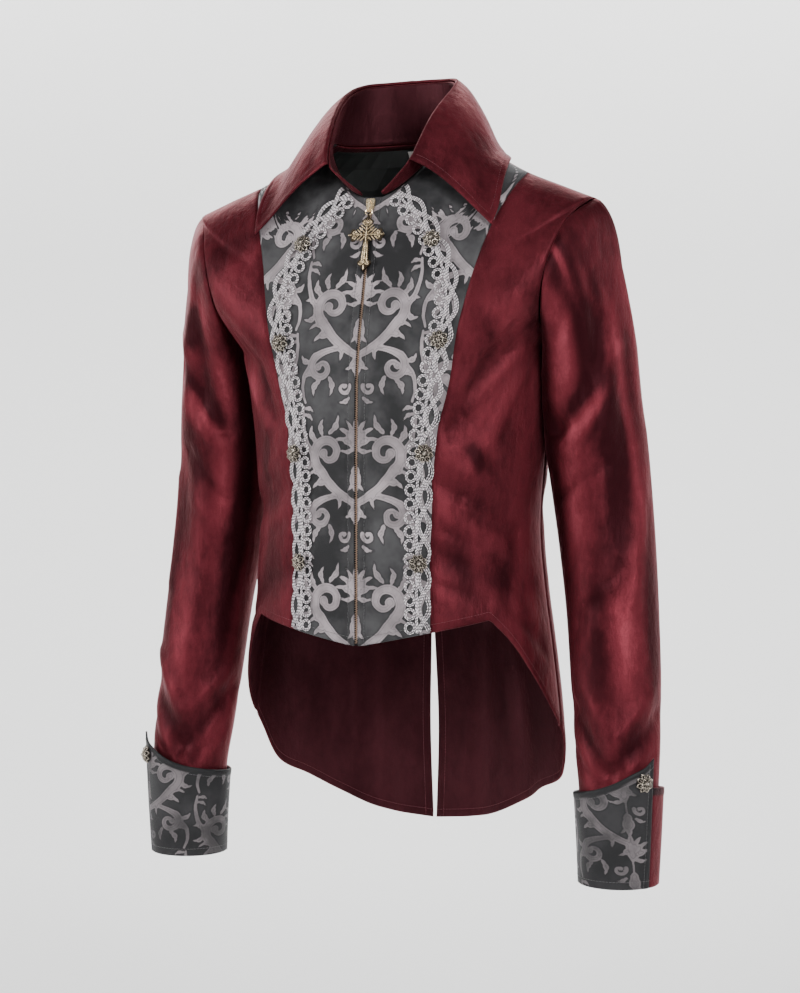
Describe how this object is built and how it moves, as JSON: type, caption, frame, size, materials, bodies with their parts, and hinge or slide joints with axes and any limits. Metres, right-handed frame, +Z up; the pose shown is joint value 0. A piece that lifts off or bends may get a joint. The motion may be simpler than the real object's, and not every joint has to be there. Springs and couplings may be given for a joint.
{
  "type": "tailored velvet zip jacket",
  "caption": "Fitted zip-front velvet jacket with a pointed fall collar, patterned front panels, braid, dome buttons, cut-away fronts and split tails, in its worn, hollow shape.",
  "frame": {"origin": "the middle of the neck base, level with the two points where the shoulder seams meet the neck; the wearer holds the jacket up there", "axes": "+Z up, -Y the way the front faces, +X the wearer's left"},
  "size_m": [0.5654, 0.2327, 0.8307],
  "materials": {
    "velvet": "wine-red velvet with a short, glossy nap",
    "jacquard": "charcoal and mauve-grey jacquard, half matt",
    "braid": "pale silver corded braid, satin",
    "lining": "black lining, half matt",
    "label": "white woven label, blank",
    "zip_tape": "black zip tape, matt",
    "zip_teeth": "copper-coloured metal teeth",
    "pale_gold": "pale gold, polished",
    "antique_brass": "antique brass, dark in its hollows",
    "antique_silver": "antique silver, dark in its hollows"
  },
  "bodies": {
    "garment": {"back_left": "velvet", "back_right": "velvet", "front_side_left": "velvet", "front_side_right": "velvet", "sleeve_left": "velvet", "sleeve_right": "velvet", "cuff_back_left": "velvet", "cuff_back_right": "velvet", "collar_stand": "velvet", "collar_fall": "velvet", "front_panel_left": "jacquard", "front_panel_right": "jacquard", "cuff_front_left": "jacquard", "cuff_front_right": "jacquard", "braid_left": "braid", "braid_right": "braid", "neck_lining": "lining", "neck_label": "label", "zip_tape": "zip_tape", "zip_chain": "zip_teeth", "zip_slider": "pale_gold", "button_left_1": "antique_silver", "button_left_2": "antique_silver", "button_left_3": "antique_silver", "button_left_4": "antique_silver", "button_right_1": "antique_silver", "button_right_2": "antique_silver", "button_right_3": "antique_silver", "button_right_4": "antique_silver", "cuff_button_left": "antique_silver", "cuff_button_right": "antique_silver"},
    "ring": {"pull_ring": "pale_gold"},
    "pendant": {"cross_pendant": "antique_brass"}
  },
  "joints": [
    {"name": "ring_hinge", "type": "hinge", "parent": "garment", "child": "ring", "pos_m": [0, -0.08558, -0.07968], "axis": [-1, 0, 0], "range_deg": [0, 120]},
    {"name": "pendant_hinge", "type": "hinge", "parent": "ring", "child": "pendant", "pos_m": [0, -0.08726, -0.08668], "axis": [-1, 0, 0], "range_deg": [0, 55]}
  ]
}
